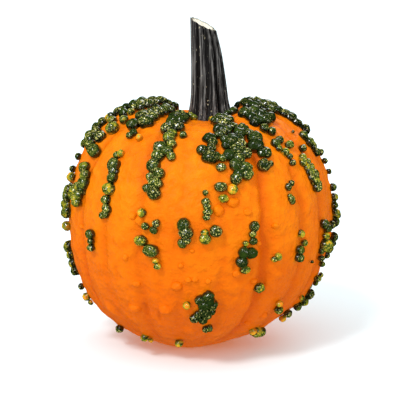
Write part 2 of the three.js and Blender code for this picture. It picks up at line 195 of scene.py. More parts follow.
# Single warts as longitude, fall, diameter, green.
FACE_BEADS = [
    (-31, 15, 8.5, 0.7), (-19, 17.5, 7, 0.6), (8.5, 20, 6, 0.1), (55, 16, 10, 0.9), (80, 13, 10, 0.9),
    (43, 15, 9, 0.9), (-11, 41, 8, 0.8), (-19.5, 68.5, 13, 0.95), (-118, 20, 11, 0.9), (-75, 33, 9, 0.5),
    (-80, 36, 12, 0.9), (-67, 38, 10, 0.7), (-85, 42, 10, 0.7), (-95, 49.5, 11, 0.85), (-97.5, 43, 11, 0.45),
    (-97, 46, 7, 0.85), (-69, 49.5, 14, 0.8), (-88, 49.5, 11, 0.85), (-66.5, 44, 14.5, 0.55),
    (-98.5, 37, 12, 0.85), (-99, 31.5, 10, 0.5), (-93.5, 53, 13, 0.65), (-92.5, 57, 10, 0.6),
    (-65, 56, 15, 0.8), (-89, 62.5, 8, 0.85), (-90, 68.5, 8, 0.85), (-86, 71.5, 11.5, 0.3),
    (-90, 79.5, 10, 0.7), (-89.5, 84, 12, 0.6), (-88.5, 87.5, 12, 0.6), (-88.5, 93, 11, 0.35),
    (-78, 118.5, 7, 0.85), (-75, 123, 9, 0.4), (-74, 126, 6, 0.2), (-65, 78, 11, 0.55),
    (-51, 88.5, 10.5, 0.85), (-51, 91.5, 7, 0.85), (-51, 94.2, 8, 0.75), (-46, 45, 7, 0.85),
    (-45, 43, 8, 0.85), (-37.5, 45, 7.5, 0.15), (-43.5, 54, 8, 0.15), (-45.5, 55, 8, 0.7),
    (-42.5, 69, 13.5, 0.6), (-43.5, 73.5, 10, 0.65), (-24.5, 76.5, 9, 0.5), (-22.5, 81.5, 8, 0.75),
    (-24.5, 87.5, 12, 0.6), (-20, 91, 14, 0.8), (21, 61, 12, 0.8), (15.5, 62.5, 12.5, 0.85),
    (13.5, 66.5, 11, 0.25), (0.5, 49.5, 11, 1), (4.5, 53, 15, 1), (7.5, 53, 11, 0.95), (11, 53.5, 9, 0.6),
    (9.5, 57.5, 9, 0.8), (8.5, 65.5, 11, 0.85), (9.5, 70, 9, 0.5), (2, 67.5, 6, 0.8), (6, 82.5, 12.5, 0.9),
    (1.8, 85.5, 11, 0.55), (1.6, 83, 7, 0.15), (31, 58, 13.5, 1), (34.3, 57.5, 7, 1), (68, 46, 3.5, 0.6),
    (43.5, 49, 10, 0.85), (49, 48, 9, 0.9), (44, 51.5, 7, 0.8), (53, 51, 9, 0.7), (47.5, 54, 9, 0.4),
    (49, 56.2, 7, 0.85), (49, 59, 7, 0.95), (64, 54.5, 9, 0.85), (60, 71, 10.5, 0.7), (86, 60, 8, 0.85),
    (86, 64, 7, 0.85), (87, 69, 6, 0.9), (85, 75.5, 9, 0.85), (86, 80, 9, 0.7), (86, 83.5, 8, 0.7),
    (85, 86, 7, 0.85), (88, 88, 12.5, 0.45), (88, 91.2, 11, 0.8), (65, 87, 10, 0.85), (67.5, 89.5, 9, 0.85),
    (79, 90.5, 9, 0.8), (85, 97, 10, 0.85), (86, 100, 9, 0.85), (66.5, 96.5, 15, 0.55), (80, 101, 11, 0.8),
    (80, 104, 8, 0.7), (64, 98.5, 7, 0.8), (65.5, 102, 7, 0.7), (67.5, 105, 6.5, 0.7), (69, 112, 8, 0.7),
    (73.5, 111.5, 6, 0.5), (70, 114.5, 6, 0.8), (73, 120, 6, 0.8), (76, 121.5, 12.5, 0.7),
    (74, 124.8, 12, 0.55), (64, 120.5, 6, 0.2), (21.8, 81.5, 11, 0.95), (21, 84.5, 7, 0.7),
    (21.3, 87.3, 8, 0.9), (18, 88, 6, 0.7), (17.2, 91.5, 12, 0.95), (20.3, 92, 12, 0.95),
    (16.5, 95.3, 12.5, 1), (18.3, 98.8, 9, 0.55), (45.5, 87.5, 8, 0.4), (48.5, 92, 7, 0.7), (33, 95, 8, 0.55),
    (31.5, 96, 6, 0.5), (54.5, 101, 3.5, 0.9), (26.5, 108, 10.5, 0.6), (-5, 114.5, 8, 0.25),
    (43.5, 122, 9, 0.6), (41, 118, 7, 0.15), (66, 130.5, 9, 0.7), (68, 134.5, 8, 0.2), (43, 137.5, 12, 0.55),
    (52, 140, 11, 0.6), (38, 136, 8, 0.25), (-34, 141, 8, 0.4), (-31.5, 144, 5, 0.3), (-9.5, 143.5, 8, 0.4),
    (-66, 142.5, 9, 0.85), (100, 28, 12, 0.85), (97, 33, 13, 0.85), (71, 127.5, 9, 0.6), (66.5, 92.5, 8, 0.4),
]

# %% Beads strewn along the strings, and a rule for the side that doesn't show
# Beads stand this many diameters apart along a string and across it, and every second lane is set on
# by a share of a step.
BEAD_ALONG = 0.66
BEAD_ACROSS = 0.62
LANE_SHIFT = 0.4
# How much chance moves a bead, sizes it and changes its green.
BEAD_PLAY = 0.3
SMALLEST_BEAD = 0.8
BEAD_SIZE_RANGE = 0.36
GREEN_RANGE = 0.2
# The far side, in degrees: from where to where strings grow, and how far apart on the average.
BACK_FROM = 100
BACK_TO = 262
BACK_STEP = 16
# Strings start at this fall, but lower down right behind the stem.
BACK_TOP = 19
BACK_TOP_BEHIND_STEM = 41
BACK_MIDDLE = 181
BARE_BEHIND_STEM = 36
# The share of strings two beads wide, and of ribs with one more string below the waist.
BACK_DOUBLE = 0.4
BACK_LOW = 0.6
SEED = 20261


def seeded_draws(seed):
    """The same draws between 0 and 1 on every run."""
    state = seed
    while True:
        state = state * 48271 % 2147483647
        yield state / 2147483647


def beads_of_string(string, draws):
    """Beads of one string as (longitude, fall, diameter, green, heading), each a little out of line."""
    from_longitude, from_fall, to_longitude, to_fall, diameter, abreast, green = string
    start, end, middle = rind_points(
        [from_longitude, to_longitude, (from_longitude + to_longitude) / 2],
        [from_fall, to_fall, (from_fall + to_fall) / 2],
    )
    steps = max(math.floor(math.dist(start, end) / (BEAD_ALONG * diameter) + 0.5), 1)
    degrees_out = math.degrees(1 / max(math.hypot(middle[0], middle[1]), SADDLE_REACH))
    degrees_down = math.degrees(1 / WAIST_RADIUS)
    heading = np.array([(to_longitude - from_longitude) / degrees_out, (to_fall - from_fall) / degrees_down])
    heading /= np.linalg.norm(heading)
    beads = []
    for step in range(steps + 1):
        for lane in range(abreast):
            share = (step + (next(draws) - 0.5) * BEAD_PLAY + (lane % 2) * LANE_SHIFT) / steps
            offset = ((lane - (abreast - 1) / 2) * BEAD_ACROSS + (next(draws) - 0.5) * BEAD_PLAY) * diameter
            size = diameter * (SMALLEST_BEAD + BEAD_SIZE_RANGE * next(draws))
            aside = heading[1] * offset * degrees_out
            below = heading[0] * offset * degrees_down
            beads.append((
                from_longitude + (to_longitude - from_longitude) * share - aside,
                from_fall + (to_fall - from_fall) * share + below,
                size,
                green + (next(draws) - 0.5) * GREEN_RANGE,
                math.atan2(heading[1], heading[0]),
            ))
    return beads


def back_strings(draws):
    """Strings for the far side: long and dark near the stem, short and paler lower down."""
    strings = []
    longitude = BACK_FROM
    while longitude < BACK_TO:
        # A long one from the crown
        behind_stem = abs(longitude - BACK_MIDDLE) < BARE_BEHIND_STEM
        top = (BACK_TOP_BEHIND_STEM if behind_stem else BACK_TOP) + 9 * next(draws)
        length = 14 + 26 * next(draws)
        drift = 6 * (next(draws) - 0.5)
        abreast = 2 if next(draws) < BACK_DOUBLE else 1
        size = 11 + 3 * next(draws)
        strings.append((longitude, top, longitude + drift, top + length, size, abreast, 0.9))
        # A short one above the waist
        middle = 70 + 16 * next(draws)
        aside = longitude + 8 * (next(draws) - 0.5)
        reach = middle + 2 + 8 * next(draws)
        strings.append((aside, middle, aside + 2, reach, 8.5 + 3.5 * next(draws), 1, 0.7))
        # On some ribs, one more below it
        low = 98 + 30 * next(draws)
        if next(draws) < BACK_LOW:
            reach = low + 2 + 4 * next(draws)
            strings.append((aside, low, aside - 2, reach, 8 + 3.5 * next(draws), 1, 0.6))
        longitude += BACK_STEP * (0.8 + 0.4 * next(draws))
    return strings


draws = seeded_draws(SEED)
face_beads = [bead for string in FACE_STRINGS for bead in beads_of_string(string, draws)]
face_beads += [(*bead, math.pi / 2) for bead in FACE_BEADS]
back_beads = [bead for string in back_strings(draws) for bead in beads_of_string(string, draws)]
all_beads = np.array(face_beads + back_beads)
print(len(face_beads), "warts in front and", len(back_beads), "behind")

# %% [markdown]
# From rings of points to a mesh
#
# The rind, each wart and the stem are all closed skins that can be drawn as rings, one below the other,
# with one point at the top and one at the bottom. One helper joins such rings with faces. Building the
# mesh straight from arrays is fast, and gives full say over where the points lie.

# %% Helpers that join rings with faces, make the object, and work out noise
def ring_faces(rings, sides, start=0):
    """Faces of a closed skin: a top point, then rings of points anticlockwise from above, then a bottom."""
    ring = np.arange(rings * sides).reshape(rings, sides) + start + 1
    beside = np.roll(ring, -1, axis=1)
    quads = np.stack([ring[:-1], ring[1:], beside[1:], beside[:-1]], axis=-1).reshape(-1, 4)
    bottom = start + 1 + rings * sides
    top_fan = [(start, here, there) for here, there in zip(ring[0], beside[0])]
    bottom_fan = [(bottom, there, here) for here, there in zip(ring[-1], beside[-1])]
    return quads.tolist() + top_fan + bottom_fan


def make_piece(name, points, faces, marks):
    """A smooth mesh object from points in mm, with named numbers stored at its points."""
    mesh = bpy.data.meshes.new(name)
    mesh.from_pydata((points * MM).tolist(), [], faces)
    for mark, values in marks.items():
        layer = mesh.attributes.new(mark, "FLOAT", "POINT")
        layer.data.foreach_set("value", np.asarray(values, np.float32))
    mesh.polygons.foreach_set("use_smooth", np.ones(len(mesh.polygons), bool))
    mesh.update()
    piece = bpy.data.objects.new(name, mesh)
    bpy.context.scene.collection.objects.link(piece)
    triangles = sum(len(polygon.vertices) - 2 for polygon in mesh.polygons)
    print(name, "has", triangles, "triangles")
    return piece


def with_ends(values, top=0, bottom=0):
    """The numbers at a net's rings, with those of its top and bottom point added."""
    return np.concatenate([[top], values, [bottom]])


def noise_at(points, size, seed):
    """Smooth noise from -1 to 1 at points in mm, with lumps of about that size."""
    shift = Vector((seed, 2.7 * seed, -1.3 * seed))
    return np.array([noise.noise(Vector(point) / size + shift) for point in points])


# %% [markdown]
# The rind
#
# The rind is a fine net of the formula's points, moved in and out by smaller forms. It swells where warts
# and knobs grow out of it, which hides their roots and gives the soft collar that real ones have. It
# carries low bumps, a few short creases, and broad dents that break up the reflections. A subdivided solid
# could be sculpted to the same end, but a net on the two angles lets each form be written where it belongs.

# %% Orange knobs, low bumps and creases
# Knobs are warts that stayed the colour of the rind. Each is a longitude, a fall and a diameter in mm.
ORANGE_KNOBS = [
    (7.5, 74.5, 12), (13.5, 71.5, 11), (-26, 80, 11), (15.5, 101, 9), (-9.5, 106.5, 11), (-31.5, 120, 12),
    (-15, 118.5, 13), (37, 125.5, 9), (-29, 78, 9), (19.5, 75.5, 8), (-5, 103, 7), (-2, 103, 6.5),
    (3.5, 103.5, 7), (23.5, 105, 7), (25, 89, 6.5), (32, 82.5, 7), (30.5, 130, 7), (-32.5, 95.5, 8),
    (-28, 107, 8), (-63, 88, 6), (-8, 97, 6), (-3.5, 90.5, 5), (3, 110, 6), (150, 96, 9), (176, 80, 8),
    (203, 102, 10), (225, 88, 8), (120, 112, 9), (-120, 101, 8),
]
# Low bumps as longitude, fall, radius and height in mm.
LOW_BUMPS = [
    (-35, 89, 7, 1.9), (-22.5, 72, 8, 1.9), (-48, 102, 7, 2), (38, 104, 7, 1.8), (52, 112, 8, 2),
    (-70, 98, 7, 2), (10, 93, 6, 1.6), (-12, 62, 7, 1.6), (25, 118, 8, 1.9), (-3, 133, 7, 1.7),
    (-50, 126, 8, 2),
]
# Bumps too many to place are strewn by chance, between these longitudes, falls, radii and heights.
STREWN_BUMPS = 130
STREWN_LEAST = (-180, 48, 2.6, 0.4)
STREWN_MOST = (180, 150, 6, 1.4)
STREWN_SEED = 5
# Creases as longitude, first and last fall, depth in mm.
CREASES = [
    (-26, 117.5, 124, 1.2), (-18.7, 120, 126, 1.2), (14, 96, 99, 0.7), (52, 104, 110, 0.8),
    (-38, 100, 106, 0.7),
]
CREASE_WIDTH = 1.7
CREASE_POINTS = 9
print(len(ORANGE_KNOBS), "knobs,", len(LOW_BUMPS) + STREWN_BUMPS, "bumps and", len(CREASES), "creases")

# %% The net of the rind
RIND_SIDES = 480
RIND_ROWS = 196

round_angles = np.arange(RIND_SIDES) * 360 / RIND_SIDES
down_angles = np.arange(1, RIND_ROWS) * 180 / RIND_ROWS
rind_longitude, rind_fall = (grid.ravel() for grid in np.meshgrid(round_angles, down_angles))
bare = rind_points(rind_longitude, rind_fall)
outward = rind_normals(rind_longitude, rind_fall)
print("the net of the rind has", len(bare), "points")

# %% Swellings under the warts, and how near each point is to one
# In radii of the wart: the height and spread of its collar, and the reach of the yellower rind beside it.
COLLAR_HEIGHT = 0.34
KNOB_COLLAR_HEIGHT = 0.24
COLLAR_SPREAD = 1.3
NEAR_REACH = 0.9
NEAR_FADE = 0.35

orange_knobs = np.array([(*knob, 0, math.pi / 2) for knob in ORANGE_KNOBS])
collar = np.zeros(len(bare))
wart_near = np.zeros(len(bare))
for longitude, fall, diameter, green, _ in np.vstack([all_beads, orange_knobs]):
    radius = diameter / 2
    apart = np.linalg.norm(bare - rind_points(longitude, fall), axis=1) / radius
    swelling = COLLAR_HEIGHT if green > 0 else KNOB_COLLAR_HEIGHT
    collar = np.maximum(collar, swelling * radius * np.exp(-((apart / COLLAR_SPREAD) ** 2)))
    if green > 0:
        past_edge = np.maximum(apart - NEAR_REACH, 0)
        wart_near = np.maximum(wart_near, np.exp(-((past_edge / NEAR_FADE) ** 2)))
print("the highest collar stands out by", round(collar.max(), 1), "mm")

# %% Bumps and creases
chance = np.random.default_rng(STREWN_SEED)
strewn_bumps = chance.uniform(STREWN_LEAST, STREWN_MOST, (STREWN_BUMPS, 4))
bumps = np.zeros(len(bare))
for longitude, fall, radius, height in np.vstack([LOW_BUMPS, strewn_bumps]):
    apart = np.linalg.norm(bare - rind_points(longitude, fall), axis=1) / radius
    bumps = np.maximum(bumps, height * np.exp(-(apart**3)))
creases = np.zeros(len(bare))
for longitude, first, last, depth in CREASES:
    line = rind_points(longitude, np.linspace(first, last, CREASE_POINTS))
    apart = np.min([np.linalg.norm(bare - point, axis=1) for point in line], axis=0)
    creases = np.maximum(creases, depth * np.exp(-((apart / CREASE_WIDTH) ** 2)))
print("bumps up to", round(bumps.max(), 1), "mm high, creases up to", round(creases.max(), 1), "mm deep")

# %% Dents, puckers and fine lines
# Dents as depth and size in mm and a seed: broad ones, small ones, and those of orange peel.
DENTS = [(0.9, 46, 1.7), (0.8, 14, 5.1), (0.42, 5.5, 7.7)]
# Puckers are crowded into the collars.
PUCKER_DEPTH = 0.5
PUCKER_SIZE = 4.4
PUCKER_SEED = 9.1
# Lines along the ribs set in at one fall, and are as deep as they get at the other. Their noise moves on
# by only a few tenths of a millimetre for each degree of fall, which draws it out lengthwise.
RIB_LINE_DEPTH = 0.8
RIB_LINE_SIZE = 7
RIB_LINE_SEED = 2.9
RIB_LINE_STEP = 0.3
RIB_LINES_FROM = 60
RIB_LINES_FULL = 120
# Each furrow has a narrow line in it, a share of its depth, that wanders by some degrees.
FURROW_LINE = 0.34
FURROW_LINE_WIDTH = 2.8
FURROW_WANDER = 2.5
WANDER_SIZE = 40
WANDER_SEED = 6.3
# All of it fades out over the last few millimetres above the ground.
GROUND_FADE = 6

dents = sum(depth * (noise_at(bare, size, seed) - 1) for depth, size, seed in DENTS)
dents += PUCKER_DEPTH * (noise_at(bare, PUCKER_SIZE, PUCKER_SEED) - 0.5) * np.minimum(collar, 1)
turn = np.radians(rind_longitude)
lengthwise = np.stack(
    [WAIST_RADIUS * np.sin(turn), WAIST_RADIUS * np.cos(turn), RIB_LINE_STEP * rind_fall], axis=-1
)
low_down = np.clip((rind_fall - RIB_LINES_FROM) / (RIB_LINES_FULL - RIB_LINES_FROM), 0, 1)
dents += RIB_LINE_DEPTH * (noise_at(lengthwise, RIB_LINE_SIZE, RIB_LINE_SEED) - 1) * low_down
from_axis = np.hypot(bare[:, 0], bare[:, 1])
wander = FURROW_WANDER * noise_at(bare, WANDER_SIZE, WANDER_SEED)
furrow_lines = FURROW_LINE * furrow_depth(rind_longitude + wander, from_axis, FURROW_LINE_WIDTH)
dents -= furrow_lines
bare_relief = bumps - creases + dents
relief = (collar + bare_relief) * np.clip(bare[:, 2] / GROUND_FADE, 0, 1)
rind_net = bare + outward * relief[:, None]
print("the rind moves by", round(relief.min(), 1), "to", round(relief.max(), 1), "mm")

# %% The blossom scar, a corky button in the middle of the underside
# Its radius and rise in mm, the eye in its middle, and how much of the rise the eye loses.
SCAR_RADIUS = 9
SCAR_RISE = 1.6
EYE_RADIUS = 3
EYE_DIP = 0.5
UNDERSIDE_FROM = 150
# A furrow's narrow line gets this many times as much painted shade as its depth alone would give.
FURROW_LINE_SHADE = 3

base_middle = rind_points(0, 180)
from_scar = np.linalg.norm(bare - base_middle, axis=1)
scar = np.exp(-((from_scar / SCAR_RADIUS) ** 4)) * (rind_fall > UNDERSIDE_FROM)
rind_net[:, 2] += SCAR_RISE * scar * (1 - EYE_DIP * np.exp(-((from_scar / EYE_RADIUS) ** 2)))

rind_top = rind_points(0, 0)
rind_bottom = base_middle + [0, 0, SCAR_RISE * (1 - EYE_DIP)]
# The furrow and crease marks say where the finish paints shade into the rind.
rind = make_piece(
    "rind",
    np.vstack([rind_top, rind_net, rind_bottom]),
    ring_faces(RIND_ROWS - 1, RIND_SIDES),
    {
        "furrow": with_ends(furrow_depth(rind_longitude, from_axis) + FURROW_LINE_SHADE * furrow_lines),
        "wart_near": with_ends(wart_near),
        "crease": with_ends(creases),
        "scar": with_ends(scar, bottom=1),
    },
)
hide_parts("fruit")
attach(rind, "root")

# %% [markdown]
# The warts
#
# A wart is a round, lumpy bead, wider across its string than along it, that stands a little more than its
# own radius out of the rind. All the beads share one pattern of rings, which is turned, stretched and made
# lumpy for each. Metaballs could melt them together, but real warts stay apart, with a dark line where two
# meet, and that is what overlapping beads give. Each point also keeps how green its wart is and how high it
# stands, for the colours later.

# %% One pattern for all the beads
BEAD_SIDES = 26
BEAD_RINGS = 11
# A bead's skin goes this many degrees down from its top, where a flat disc inside the rind closes it.
BEAD_DEPTH = 128

ring_angles = np.radians(np.arange(1, BEAD_RINGS + 1) * BEAD_DEPTH / BEAD_RINGS)
side_angles = np.arange(BEAD_SIDES) * 2 * np.pi / BEAD_SIDES
angle, side = (grid.ravel() for grid in np.meshgrid(ring_angles, side_angles, indexing="ij"))
pattern = np.stack([np.sin(angle) * np.cos(side), np.sin(angle) * np.sin(side), np.cos(angle)], axis=-1)
pattern = np.vstack([[0, 0, 1], pattern, [0, 0, math.cos(math.radians(BEAD_DEPTH))]])
print("each bead has", len(pattern), "points")


# %% Grow the beads of one side as one piece
# Height of the lumps on a bead in radii, and how many come in a radius. Each bead has lumps of its own,
# because it reads them at another place in the noise, up to this far off.
LUMPS = 0.13
LUMPS_IN_RADIUS = 1.4
FINE_LUMPS = 0.07
FINE_LUMPS_IN_RADIUS = 3.4
PLACE_IN_NOISE = 50
# A bead is a little smaller than its nominal size, and stands out of the rind by this many radii.
BEAD_FULLNESS = 0.96
BEAD_STANDS = 1.15
# How much wider than long a bead may be.
LEAST_STRETCH = 0.94
MOST_STRETCH = 1.2


def grow_warts(name, beads, lifts, seed):
    """Many beads as one mesh that rides with the fruit, each set out from the bare rind by its lift in mm."""
    places = rind_points(beads[:, 0], beads[:, 1])
    normals = rind_normals(beads[:, 0], beads[:, 1])
    chance = np.random.default_rng(seed)
    points, faces, greens, heights, tones = [], [], [], [], []
    for place, normal, lift, bead in zip(places, normals, lifts, beads):
        longitude, _, diameter, green, heading = bead
        radius = BEAD_FULLNESS * diameter / 2
        turn = math.radians(longitude)
        east = np.array([math.cos(turn), math.sin(turn), 0])
        east -= normal * east.dot(normal)
        east /= np.linalg.norm(east)
        south = np.cross(east, normal)
        along = math.cos(heading) * east + math.sin(heading) * south
        across = np.cross(normal, along)
        shift = chance.uniform(-PLACE_IN_NOISE, PLACE_IN_NOISE, 3)
        lumps = [
            LUMPS * noise.noise(Vector(shift + LUMPS_IN_RADIUS * spot))
            + FINE_LUMPS * noise.noise(Vector(shift + FINE_LUMPS_IN_RADIUS * spot))
            for spot in pattern
        ]
        ball = pattern * (1 + np.array(lumps))[:, None]
        stretch = chance.uniform(LEAST_STRETCH, MOST_STRETCH)
        local = ball * radius * [1 / math.sqrt(stretch), stretch, 1]
        bead_points = place + normal * lift + local @ np.stack([along, across, normal])
        bead_points = np.clip(bead_points, *BOX_LIMITS)
        faces += ring_faces(BEAD_RINGS, BEAD_SIDES, len(points) * len(pattern))
        points.append(bead_points)
        greens.append(np.full(len(pattern), green))
        heights.append(ball[:, 2])
        tones.append(np.full(len(pattern), chance.random()))
    marks = {"green": np.concatenate(greens), "rise": np.concatenate(heights), "tone": np.concatenate(tones)}
    piece = make_piece(name, np.vstack(points), faces, marks)
    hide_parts("fruit")
    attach(piece, "root")
    return piece


bead_lifts = (BEAD_STANDS - 1) * BEAD_FULLNESS * all_beads[:, 2] / 2
front = slice(len(face_beads))
behind = slice(len(face_beads), None)
warts = [
    grow_warts("warts_front", all_beads[front], bead_lifts[front], seed=11),
    grow_warts("warts_back", all_beads[behind], bead_lifts[behind], seed=12),
]

# %% [markdown]
# The orange knobs
#
# Some warts never turned green. They keep the finish of the rind and swell out of it more softly than the
# rest. They could be raised from the rind's net, but at its spacing a small knob would be a few flat faces.
# So they are beads as well, sunk deeper, and set on the rind as its dents left it, or half would be buried.

# %% Grow the knobs
# A knob's middle lies this many radii below the rind.
KNOB_SINK = 0.12

knob_lifts = []
for longitude, fall, diameter, *_ in orange_knobs:
    nearest = np.argmin(np.linalg.norm(bare - rind_points(longitude, fall), axis=1))
    knob_lifts.append(bare_relief[nearest] - KNOB_SINK * diameter / 2)
knobs = grow_warts("orange_knobs", orange_knobs, knob_lifts, seed=13)

# %% [markdown]
# The stem
#
# The stem of a squash is hard and dry, with deep grooves between rounded ridges that spread into a foot
# on the crown. This one bends a little to the left as it rises, and a knife has taken its top off aslant.
# It is drawn as rings again: out over the cut face from its middle, and then down the ridged side.

# %% Dimensions of the stem, in millimetres
STEM_FOOT = 210
STEM_TOP = 318.8
STEM_LEAN = 6.6
STEM_BEND = 1.9
# It widens by the swell on its way down, and flares out into its foot, most towards one side.
STEM_RADIUS = 11.3
STEM_SWELL = 6.2
STEM_TAPER = 0.8
STEM_FLARE = 11
FLARE_FROM = 218
FLARE_SPREAD = 9
FLARE_UNEVEN = 0.3
FLARE_TOWARDS = -40
# The slope of the cut to the right, where it falls, and to the back. It fades out down the stem, as this
# power of the height.
CUT_SLOPE_X = -0.5
CUT_SLOPE_Y = 0.12
CUT_FADE = 4
# Heights of the ridges are shares of the radius. A power above 1 makes crests narrow, the drift spaces
# them unevenly, and a slow wave makes the whole a little five-sided.
STEM_RIDGES = 10
RIDGE_HEIGHT = 0.24
RIDGE_MEAN = 0.55
RIDGE_POWER = 1.3
RIDGE_DRIFT = 0.5
RIDGE_UNEVEN = 0.35
SMALL_RIDGES = 26
SMALL_RIDGE_HEIGHT = 0.08
SMALL_RIDGE_POWER = 0.8
SMALL_RIDGE_TWIST = 0.3
FIVE_SIDED = 0.03
STEM_TWIST = 0.16
FIBRE_DEPTH = 0.35

# %% The net of the stem
STEM_SIDES = 240
STEM_ROWS = 130
CUT_RINGS = 14
# The cut is dished as it dries, and rough from the knife.
CUT_DISH = 1.6
CUT_ROUGHNESS = 0.25
# How much the large ridges count beside the small ones where the colour asks for crests.
LARGE_CREST_SHARE = 0.6

cut_share = np.concatenate([np.arange(1, CUT_RINGS + 1) / (CUT_RINGS + 1), np.ones(STEM_ROWS)])
stem_share = np.concatenate([np.ones(CUT_RINGS), np.linspace(1, 0, STEM_ROWS)])
round_stem = np.arange(STEM_SIDES) * 2 * np.pi / STEM_SIDES
inset, stem_angle = (grid.ravel() for grid in np.meshgrid(cut_share, round_stem, indexing="ij"))
share = np.repeat(stem_share, STEM_SIDES)
flat = STEM_FOOT + (STEM_TOP - STEM_FOOT) * share
above = np.maximum(flat - FLARE_FROM, 0)
drop = 1 - above / (STEM_TOP - FLARE_FROM)
flare = STEM_FLARE * (1 + FLARE_UNEVEN * np.cos(stem_angle - math.radians(FLARE_TOWARDS)))
width = STEM_RADIUS + STEM_SWELL * drop**STEM_TAPER + flare * np.exp(-above / FLARE_SPREAD)
turned = stem_angle + STEM_TWIST * (1 - share)
crest = np.abs(np.cos(STEM_RIDGES / 2 * turned + RIDGE_DRIFT * np.sin(2 * turned + 1))) ** RIDGE_POWER
small_crest = np.abs(np.cos(SMALL_RIDGES / 2 * turned - SMALL_RIDGE_TWIST * share)) ** SMALL_RIDGE_POWER


def noise_round_stem(lumps_round, length, seed):
    """Noise on the stem with that many lumps in a radian around it, each that many mm long."""
    around = [lumps_round * np.cos(turned), lumps_round * np.sin(turned), flat / length]
    return noise_at(np.stack(around, axis=-1), 1, seed)


uneven = noise_round_stem(2.2, 60, 3.3)
fibres = noise_round_stem(9, 22, 8.9)
height_of_ridge = RIDGE_HEIGHT * (1 + RIDGE_UNEVEN * uneven)
ridges = 1 + height_of_ridge * (crest - RIDGE_MEAN) + FIVE_SIDED * np.cos(5 * turned + 1)
ridges += SMALL_RIDGE_HEIGHT * (small_crest - RIDGE_MEAN)
radius = (width * ridges + FIBRE_DEPTH * fibres) * inset
rise = np.maximum((flat - FLARE_FROM) / (STEM_TOP - FLARE_FROM), 0)
middle = CROWN_SHIFT - STEM_LEAN * rise**STEM_BEND
out_x, out_y = radius * np.cos(stem_angle), radius * np.sin(stem_angle)
slant = (CUT_SLOPE_X * out_x + CUT_SLOPE_Y * out_y) * share**CUT_FADE
on_cut = np.repeat(np.arange(CUT_RINGS + STEM_ROWS) < CUT_RINGS, STEM_SIDES)
dish = np.where(on_cut, -CUT_DISH * (1 - inset**2) + CUT_ROUGHNESS * (fibres - 1), 0)
stem_net = np.stack([middle + out_x, out_y, flat + slant + dish], axis=-1)
stem_net[:, 2] = np.minimum(stem_net[:, 2], BOX_LIMITS[1][2])

crests = LARGE_CREST_SHARE * crest + (1 - LARGE_CREST_SHARE) * small_crest
cut_middle = [CROWN_SHIFT - STEM_LEAN, 0, STEM_TOP - CUT_DISH]
foot_middle = [CROWN_SHIFT, 0, STEM_FOOT]
stem = make_piece(
    "stem_dry",
    np.vstack([cut_middle, stem_net, foot_middle]),
    ring_faces(CUT_RINGS + STEM_ROWS, STEM_SIDES),
    {
        "crest": with_ends(crests, top=1, bottom=1),
        "cut": with_ends(on_cut, top=1),
        "inset": with_ends(inset),
    },
)
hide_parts("stem")
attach(stem, "root")

# %% [markdown]
# Shader maths as plain sums
#
# A finish is a graph of nodes, and a long graph is hard to read as calls. This small class wraps what a
# node puts out, so that a sum or product of two such values adds the Math node for it. Colours and
# directions aren't numbers, so they go through Mix and Vector Math. Every other node comes from
# one method, which takes the node's type, its settings and what feeds its sockets.


# %% The wrapper for a node's output
class Signal:
    """What a node puts out. Sums of signals add Math nodes to the same finish."""

    def __init__(self, tree, socket=None):
        self.tree = tree
        self.socket = socket

    def node(self, kind, settings, feeds, output=0):
        """Adds a node: its settings first, then a value or a signal for each socket it names."""
        made = self.tree.nodes.new(kind)
        for setting, value in settings.items():
            if setting == "stops":
                set_stops(made.color_ramp, value)
            else:
                setattr(made, setting, value)
        for socket, value in feeds.items():
            if isinstance(value, Signal):
                self.tree.links.new(value.socket, made.inputs[socket])
            else:
                made.inputs[socket].default_value = value
        return Signal(self.tree, made.outputs[output] if made.outputs else None)

    def maths(self, operation, *terms):
        """A Math node on signals and plain numbers."""
        return self.node("ShaderNodeMath", {"operation": operation}, dict(enumerate(terms)))

    def __add__(self, other):
        return self.maths("ADD", self, other)

    def __sub__(self, other):
        return self.maths("SUBTRACT", self, other)

    def __rsub__(self, other):
        return self.maths("SUBTRACT", other, self)

    def __mul__(self, other):
        return self.maths("MULTIPLY", self, other)

    __radd__ = __add__
    __rmul__ = __mul__

    def between(self, low, high):
        """0 at low, 1 at high and smooth in between."""
        feeds = {"Value": self, "From Min": low, "From Max": high}
        return self.node("ShaderNodeMapRange", {"interpolation_type": "SMOOTHSTEP"}, feeds)

    def tint(self, dark, light):
        """The first colour where this signal is 0 and the second where it is 1."""
        # Sockets 6 and 7 of the Mix node take its two colours, and its output 2 gives one.
        return self.node("ShaderNodeMix", {"data_type": "RGBA"}, {0: self, 6: dark, 7: light}, 2)


def set_stops(ramp, stops):
    """Colour stops of a ramp, as (place, colour) from left to right."""
    while len(ramp.elements) < len(stops):
        ramp.elements.new(1)
    for element, (place, colour) in zip(ramp.elements, stops):
        element.position = place
        element.color = colour


def paint(red, green, blue):
    """A colour given as on a paint chart, 0 to 255, in the linear light that shaders count in."""
    return tuple(
        channel / 255 / 12.92 if channel < 10.3 else ((channel / 255 + 0.055) / 1.055) ** 2.4
        for channel in (red, green, blue)
    ) + (1,)


# %% The start of every finish
def new_finish(name):
    """An empty finish, with a signal for its coordinates, which are metres in the object's frame."""
    material = bpy.data.materials.new(name)
    material.use_nodes = True
    tree = material.node_tree
    tree.nodes.clear()
    start = Signal(tree)
    return material, start, start.node("ShaderNodeTexCoord", {}, {}, "Object")


def grain(start, where, size, detail=3):
    """Noise from 0 to 1 whose lumps are about that many millimetres."""
    return start.node("ShaderNodeTexNoise", {}, {"Vector": where, "Scale": 1 / (size * MM), "Detail": detail})


def stretched(start, where, *factors):
    """The coordinates times a factor along each axis, which draws the noise on them out."""
    return start.node("ShaderNodeVectorMath", {"operation": "MULTIPLY"}, {0: where, 1: factors})


def mark(start, name):
    """A number that the mesh stores at its points."""
    return start.node("ShaderNodeAttribute", {"attribute_name": name}, {}, "Fac")


